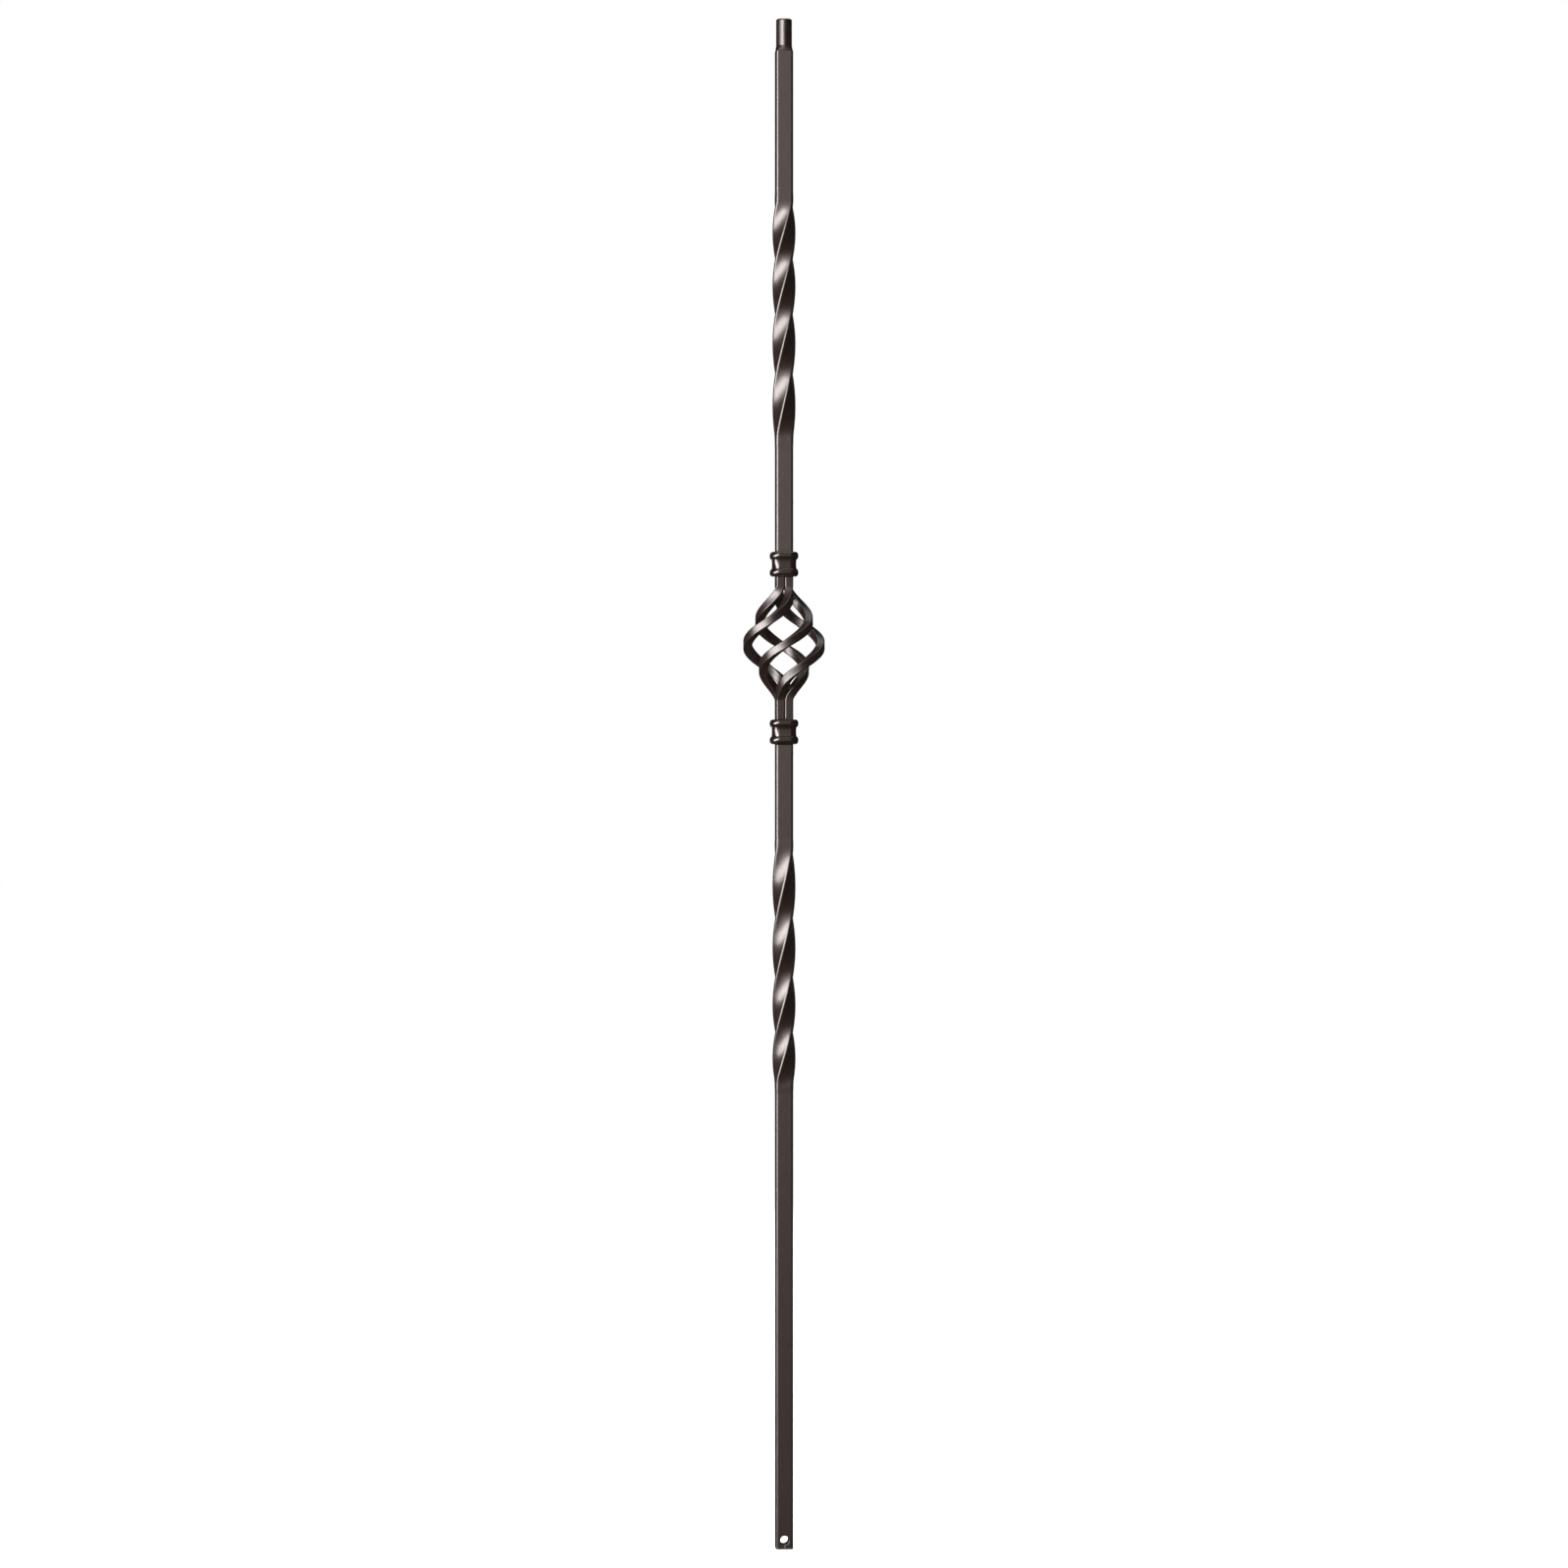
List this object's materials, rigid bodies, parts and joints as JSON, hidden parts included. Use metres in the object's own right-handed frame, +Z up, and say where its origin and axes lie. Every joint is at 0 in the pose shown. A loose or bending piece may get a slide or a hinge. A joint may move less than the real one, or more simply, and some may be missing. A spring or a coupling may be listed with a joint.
{
  "type": "iron stair baluster",
  "caption": "Slim square iron stair baluster, twisted above and below an open basket of turned rods set between bead collars, with a round dowel at the top.",
  "frame": {"origin": "middle of the cut foot, on its end face", "axes": "+Z up along the bar to the dowel, -Y the front, with the cross hole near the foot along Y"},
  "size_m": [0.0598, 0.0598, 1.1176],
  "materials": {
    "coated_iron": "satin dark bronze powder coat on drawn square iron",
    "coated_collar": "semi-gloss dark bronze powder coat on a cast collar"
  },
  "bodies": {
    "root": {"lower_bar": "coated_iron", "upper_bar": "coated_iron", "lower_collar": "coated_collar", "upper_collar": "coated_collar", "basket_rod_1": "coated_iron", "basket_rod_2": "coated_iron", "basket_rod_3": "coated_iron", "basket_rod_4": "coated_iron"}
  },
  "joints": []
}
